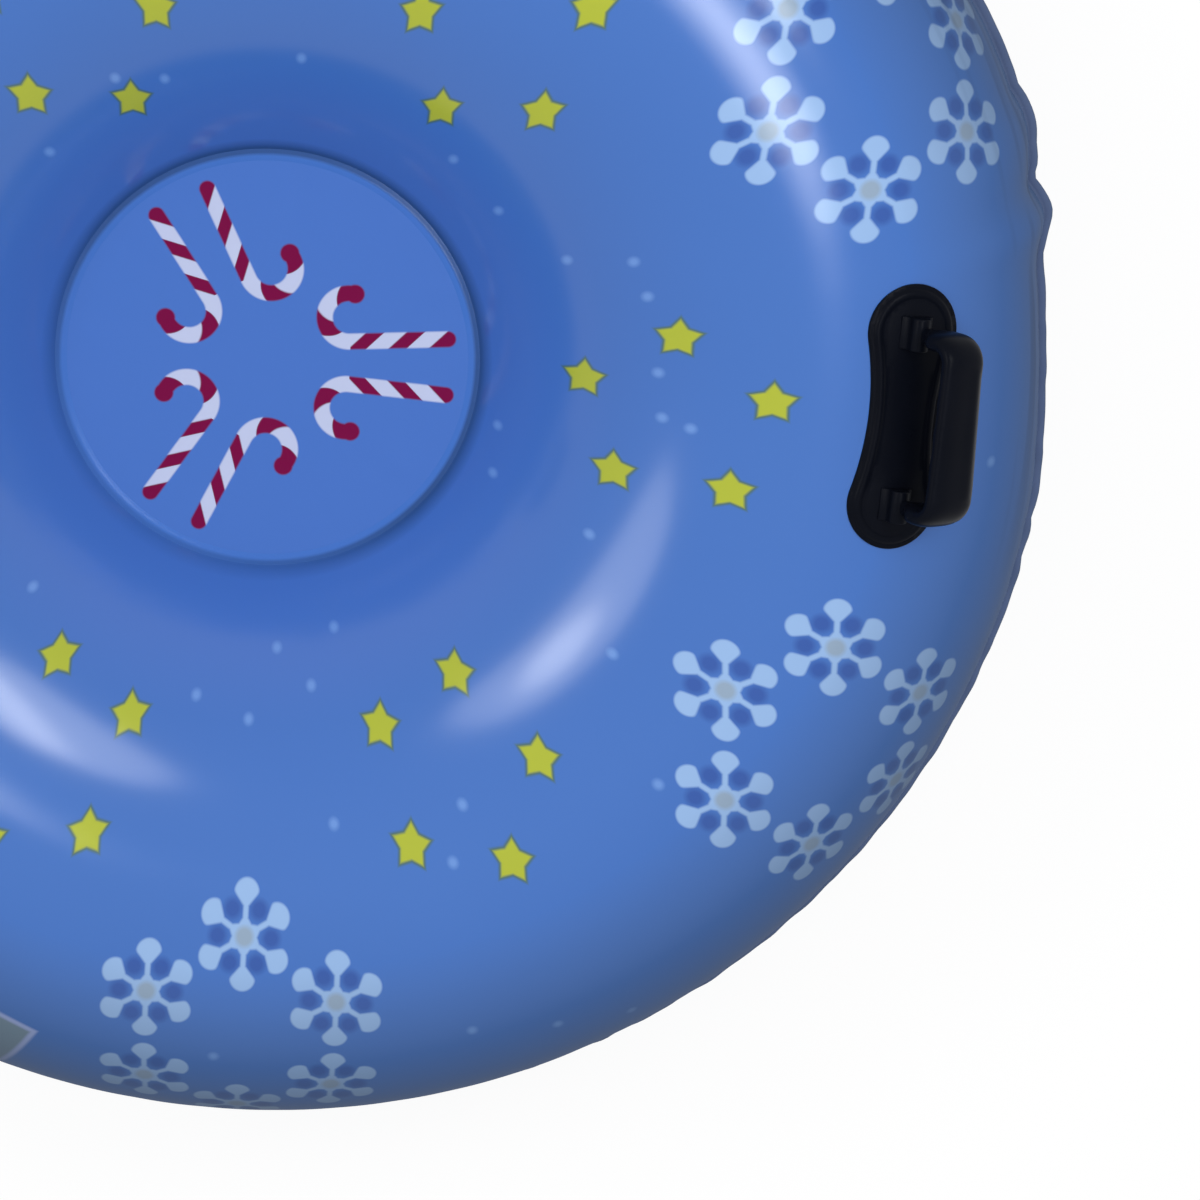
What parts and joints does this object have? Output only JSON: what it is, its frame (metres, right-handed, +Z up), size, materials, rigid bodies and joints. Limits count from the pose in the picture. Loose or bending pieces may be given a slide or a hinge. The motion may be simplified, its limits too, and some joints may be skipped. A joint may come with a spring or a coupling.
{
  "type": "snow tube",
  "caption": "Inflated ring sledge with a closed flat seat panel in the middle, moulded rocking hand grips on its crown and a screw-in air valve.",
  "frame": {"origin": "centre of the tube in plan, at the surface that it rests on", "axes": "+Z up through the seat, +X through the right handle, the handles on the X axis"},
  "size_m": [0.9978, 0.9978, 0.3146],
  "materials": {
    "printed_pvc": "glossy calendered PVC sheet, printed with pale snowflakes, yellow stars and striped canes",
    "plain_pvc": "plain heavier PVC sheet and welds",
    "handle_pvc": "glossy black moulded PVC",
    "valve_plastic": "satin white moulded plastic",
    "valve_rubber": "soft grey rubber"
  },
  "bodies": {
    "tube": {"top_skin": "printed_pvc", "bottom_skin": "plain_pvc", "outer_seam": "plain_pvc", "inner_seam": "plain_pvc", "seat_panel": "printed_pvc", "right_handle_pad": "handle_pvc", "left_handle_pad": "handle_pvc", "valve_base": "valve_plastic"},
    "right_grip": {"right_handle_grip": "handle_pvc"},
    "left_grip": {"left_handle_grip": "handle_pvc"},
    "washer": {"valve_washer": "valve_rubber"},
    "insert": {"valve_insert": "valve_plastic", "valve_tether": "valve_plastic"},
    "flap": {"valve_flap": "valve_rubber"},
    "cap": {"valve_cap": "valve_plastic"}
  },
  "joints": [
    {"name": "right_grip_rock", "type": "hinge", "parent": "tube", "child": "right_grip", "pos_m": [0.39117, 0, 0.2725], "axis": [0.0675, 0.9976, -0.0176], "range_deg": [-78, 32], "stiffness_Nm_per_rad": 0.4},
    {"name": "left_grip_rock", "type": "hinge", "parent": "tube", "child": "left_grip", "pos_m": [-0.39117, 0, 0.2725], "axis": [-0.0675, -0.9976, -0.0176], "range_deg": [-78, 32], "stiffness_Nm_per_rad": 0.4},
    {"name": "washer_lift", "type": "slide", "parent": "tube", "child": "washer", "axis": [0, 0, 1], "range_m": [0, 0.0045]},
    {"name": "insert_unscrew", "type": "hinge", "parent": "washer", "child": "insert", "pos_m": [-0.10135, 0.33149, 0.2696], "axis": [0, 0, 1], "range_deg": [0, 540]},
    {"name": "flap_open", "type": "slide", "parent": "insert", "child": "flap", "axis": [0, 0, -1], "range_m": [0, 0.0022], "stiffness_N_per_m": 60},
    {"name": "cap_pull", "type": "slide", "parent": "insert", "child": "cap", "axis": [0, 0, 1], "range_m": [0, 0.01]}
  ],
  "couplings": [
    {"joint": "washer_lift", "follows": "insert_unscrew", "m_per_rad": 0.000477}
  ]
}
